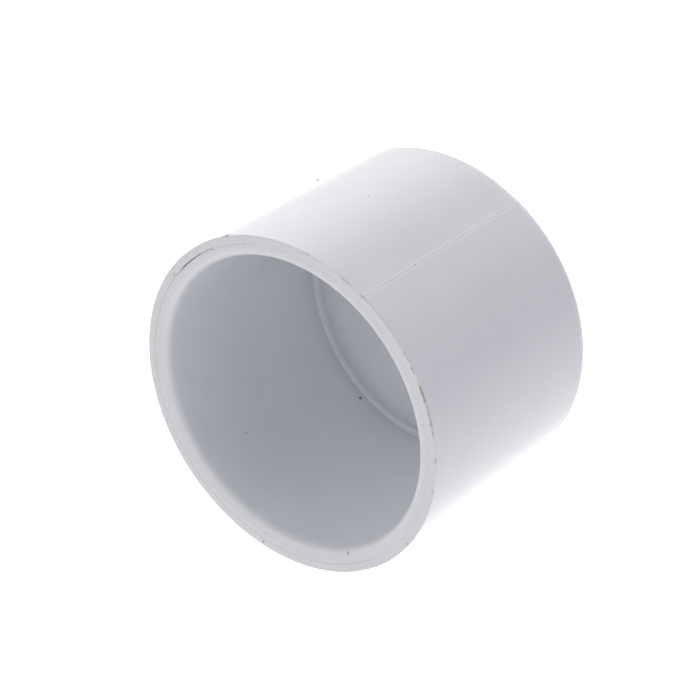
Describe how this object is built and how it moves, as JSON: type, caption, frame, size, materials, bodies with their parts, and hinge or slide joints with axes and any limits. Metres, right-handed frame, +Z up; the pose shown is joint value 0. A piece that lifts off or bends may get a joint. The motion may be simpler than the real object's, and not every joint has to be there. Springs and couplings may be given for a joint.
{
  "type": "pipe cap",
  "caption": "Round white slip cap that closes a plastic pipe's end, with a tapered socket, a stop shoulder and a flat closed end.",
  "frame": {"origin": "middle of the footprint, on the plane that the cap lies on", "axes": "+Z up with the cap lying on its side; the cap's axis is parallel to Y, its mouth faces -Y and its closed end faces +Y"},
  "size_m": [0.056, 0.041, 0.056],
  "materials": {
    "white_pvc": "smooth glossy moulded plastic, lightly handled"
  },
  "bodies": {
    "root": {"cap_body": "white_pvc"}
  },
  "joints": []
}
